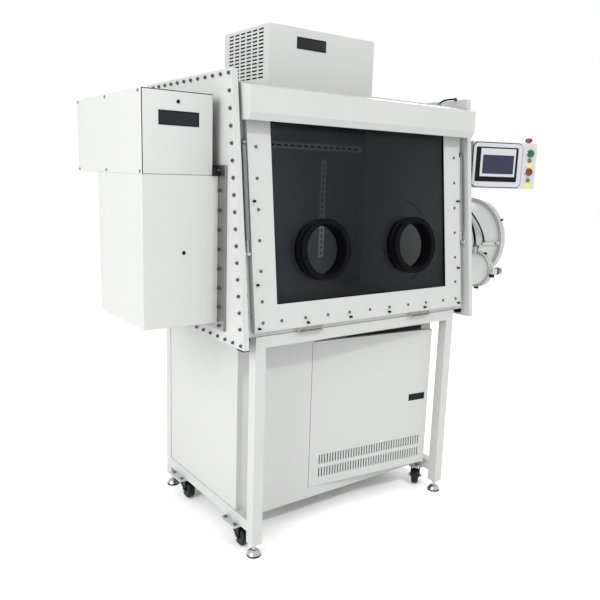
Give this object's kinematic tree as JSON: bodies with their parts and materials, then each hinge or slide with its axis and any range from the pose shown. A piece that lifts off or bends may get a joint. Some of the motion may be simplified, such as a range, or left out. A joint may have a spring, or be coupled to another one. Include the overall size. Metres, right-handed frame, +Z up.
{
  "type": "laboratory glove box",
  "caption": "Sealed work chamber with a sloping hinged window and glove ports, on a cabinet stand with casters, with side freezer, antechambers and a swivelling panel.",
  "frame": {"origin": "middle of the bounding box at floor level, under the levelling feet", "axes": "+X to the right seen from the operator, +Y from the operator to the back, +Z up"},
  "size_m": [2.21, 0.8736, 2.098],
  "materials": {
    "white_powder_coat": "fine powder coat",
    "black_caster_steel": "satin",
    "caster_tread": "satin",
    "chromed_steel": "bright",
    "stainless_steel": "brushed",
    "strut_grey": "smooth",
    "blower_grey": "painted casting",
    "black_rubber": "smooth",
    "tinted_glass": "polished",
    "black_plastic": "gloss",
    "grey_plastic": "fine texture",
    "green_plastic": "gloss",
    "red_plastic": "gloss"
  },
  "bodies": {
    "base": {"stand_legs": "white_powder_coat", "stand_rails": "white_powder_coat", "caster_plates": "white_powder_coat", "cabinet_panels": "white_powder_coat", "purifier_column": "stainless_steel", "circulation_blower": "blower_grey", "chamber_shell": "white_powder_coat", "end_flanges": "white_powder_coat", "left_side_panel": "white_powder_coat", "right_side_panel": "white_powder_coat", "flange_bolts": "stainless_steel", "front_frame": "white_powder_coat", "window_hinges": "white_powder_coat", "hood": "white_powder_coat", "cooling_unit": "white_powder_coat", "gas_hoses": "black_rubber", "freezer_body": "white_powder_coat", "freezer_flange": "stainless_steel", "control_box": "white_powder_coat", "panel_bracket": "white_powder_coat", "large_antechamber": "white_powder_coat", "small_antechamber": "white_powder_coat", "shelf_rails": "stainless_steel"},
    "caster_fl": {"caster_fork_fl": "black_caster_steel"},
    "wheel_fl": {"caster_wheel_fl": "caster_tread"},
    "foot_fl": {"levelling_foot_fl": "chromed_steel"},
    "caster_fr": {"caster_fork_fr": "black_caster_steel"},
    "wheel_fr": {"caster_wheel_fr": "caster_tread"},
    "foot_fr": {"levelling_foot_fr": "chromed_steel"},
    "caster_rl": {"caster_fork_rl": "black_caster_steel"},
    "wheel_rl": {"caster_wheel_rl": "caster_tread"},
    "foot_rl": {"levelling_foot_rl": "chromed_steel"},
    "caster_rr": {"caster_fork_rr": "black_caster_steel"},
    "wheel_rr": {"caster_wheel_rr": "caster_tread"},
    "foot_rr": {"levelling_foot_rr": "chromed_steel"},
    "door": {"cabinet_door": "white_powder_coat"},
    "latch": {"door_latch": "black_plastic"},
    "window": {"window_frame": "white_powder_coat", "window_glass": "tinted_glass", "window_seal": "black_rubber", "glove_ports": "black_rubber", "window_handles": "stainless_steel", "window_screws": "stainless_steel"},
    "rod_l": {"strut_rod_l": "chromed_steel"},
    "cylinder_l": {"strut_cylinder_l": "strut_grey"},
    "rod_r": {"strut_rod_r": "chromed_steel"},
    "cylinder_r": {"strut_cylinder_r": "strut_grey"},
    "freezer_lid": {"freezer_door": "white_powder_coat"},
    "large_lid": {"large_inner_door": "white_powder_coat"},
    "small_lid": {"small_inner_door": "white_powder_coat"},
    "large_door": {"large_outer_door": "white_powder_coat"},
    "handwheel": {"large_handwheel": "stainless_steel"},
    "small_door": {"small_outer_door": "white_powder_coat"},
    "clamp": {"small_clamp_knob": "stainless_steel"},
    "panel": {"panel_box": "white_powder_coat", "panel_bezel": "grey_plastic", "panel_screen": "black_plastic"},
    "start": {"start_button": "green_plastic"},
    "stop": {"stop_button": "red_plastic"},
    "emergency": {"emergency_stop": "red_plastic"}
  },
  "joints": [
    {"name": "caster_swivel_fl", "type": "hinge", "parent": "base", "child": "caster_fl", "pos_m": [-0.692, -0.21522, 0.096], "axis": [0, 0, 1], "continuous": true},
    {"name": "caster_roll_fl", "type": "hinge", "parent": "caster_fl", "child": "wheel_fl", "pos_m": [-0.692, -0.24922, 0.0395], "axis": [1, 0, 0], "continuous": true},
    {"name": "foot_screw_fl", "type": "slide", "parent": "base", "child": "foot_fl", "axis": [0, 0, -1], "range_m": [0, 0.02]},
    {"name": "caster_swivel_fr", "type": "hinge", "parent": "base", "child": "caster_fr", "pos_m": [0.366, -0.21522, 0.096], "axis": [0, 0, 1], "continuous": true},
    {"name": "caster_roll_fr", "type": "hinge", "parent": "caster_fr", "child": "wheel_fr", "pos_m": [0.33995, -0.23708, 0.0395], "axis": [0.6428, -0.766, 0], "continuous": true},
    {"name": "foot_screw_fr", "type": "slide", "parent": "base", "child": "foot_fr", "axis": [0, 0, -1], "range_m": [0, 0.02]},
    {"name": "caster_swivel_rl", "type": "hinge", "parent": "base", "child": "caster_rl", "pos_m": [-0.692, 0.27478, 0.096], "axis": [0, 0, 1], "continuous": true},
    {"name": "caster_roll_rl", "type": "hinge", "parent": "caster_rl", "child": "wheel_rl", "pos_m": [-0.692, 0.24078, 0.0395], "axis": [1, 0, 0], "continuous": true},
    {"name": "foot_screw_rl", "type": "slide", "parent": "base", "child": "foot_rl", "axis": [0, 0, -1], "range_m": [0, 0.02]},
    {"name": "caster_swivel_rr", "type": "hinge", "parent": "base", "child": "caster_rr", "pos_m": [0.366, 0.27478, 0.096], "axis": [0, 0, 1], "continuous": true},
    {"name": "caster_roll_rr", "type": "hinge", "parent": "caster_rr", "child": "wheel_rr", "pos_m": [0.366, 0.24078, 0.0395], "axis": [1, 0, 0], "continuous": true},
    {"name": "foot_screw_rr", "type": "slide", "parent": "base", "child": "foot_rr", "axis": [0, 0, -1], "range_m": [0, 0.02]},
    {"name": "cabinet_door_hinge", "type": "hinge", "parent": "base", "child": "door", "pos_m": [-0.3305, -0.22322, 0.4875], "axis": [0, 0, -1], "range_deg": [-7.1, 100]},
    {"name": "latch_hinge", "type": "hinge", "parent": "door", "child": "latch", "pos_m": [0.20511, -0.29195, 0.496], "axis": [0, 0, -1], "range_deg": [0, 35]},
    {"name": "window_hinge", "type": "hinge", "parent": "base", "child": "window", "pos_m": [-0.163, -0.30789, 1.73872], "axis": [-1, 0, 0], "range_deg": [0, 50]},
    {"name": "strut_swing_l", "type": "hinge", "parent": "base", "child": "rod_l", "pos_m": [-0.7475, -0.34917, 1.23619], "axis": [1, 0, 0], "range_deg": [0, 10.77]},
    {"name": "strut_slide_l", "type": "slide", "parent": "rod_l", "child": "cylinder_l", "axis": [0, 0.1115, 0.9938], "range_m": [0, 0.03166]},
    {"name": "strut_swing_r", "type": "hinge", "parent": "base", "child": "rod_r", "pos_m": [0.4215, -0.34917, 1.23619], "axis": [1, 0, 0], "range_deg": [0, 10.77]},
    {"name": "strut_slide_r", "type": "slide", "parent": "rod_r", "child": "cylinder_r", "axis": [0, 0.1115, 0.9938], "range_m": [0, 0.03166]},
    {"name": "freezer_door_hinge", "type": "hinge", "parent": "base", "child": "freezer_lid", "pos_m": [-0.7665, 0.19178, 1.2375], "axis": [0, 0, 1], "range_deg": [0, 100]},
    {"name": "large_inner_hinge", "type": "hinge", "parent": "base", "child": "large_lid", "pos_m": [0.4375, 0.33078, 1.195], "axis": [0, 0, -1], "range_deg": [0, 90]},
    {"name": "small_inner_hinge", "type": "hinge", "parent": "base", "child": "small_lid", "pos_m": [0.4375, -0.30822, 1.074], "axis": [0, 0, 1], "range_deg": [0, 85]},
    {"name": "large_outer_hinge", "type": "hinge", "parent": "base", "child": "large_door", "pos_m": [1.037, 0.34578, 1.195], "axis": [0, 0, 1], "range_deg": [0, 110]},
    {"name": "handwheel_turn", "type": "hinge", "parent": "large_door", "child": "handwheel", "pos_m": [1.095, 0.09978, 1.195], "axis": [1, 0, 0], "continuous": true},
    {"name": "small_outer_hinge", "type": "hinge", "parent": "base", "child": "small_door", "pos_m": [0.739, -0.10122, 1.074], "axis": [0, 0, 1], "range_deg": [0, 75]},
    {"name": "clamp_turn", "type": "hinge", "parent": "small_door", "child": "clamp", "pos_m": [0.769, -0.30922, 1.074], "axis": [1, 0, 0], "continuous": true},
    {"name": "panel_swivel", "type": "hinge", "parent": "base", "child": "panel", "pos_m": [0.54299, -0.2308, 1.5975], "axis": [0, 0, -1], "range_deg": [-35, 12]},
    {"name": "start_press", "type": "slide", "parent": "panel", "child": "start", "axis": [0.342, 0.9397, 0], "range_m": [0, 0.004], "stiffness_N_per_m": 500},
    {"name": "stop_press", "type": "slide", "parent": "panel", "child": "stop", "axis": [0.342, 0.9397, 0], "range_m": [0, 0.004], "stiffness_N_per_m": 500},
    {"name": "emergency_press", "type": "slide", "parent": "panel", "child": "emergency", "axis": [0, 0, -1], "range_m": [0, 0.005], "stiffness_N_per_m": 1500}
  ],
  "couplings": [
    {"joint": "strut_swing_l", "follows": "window_hinge", "ratio": 0.2151},
    {"joint": "strut_slide_l", "follows": "window_hinge", "m_per_rad": 0.036263},
    {"joint": "strut_swing_r", "follows": "window_hinge", "ratio": 0.2151},
    {"joint": "strut_slide_r", "follows": "window_hinge", "m_per_rad": 0.036263}
  ]
}
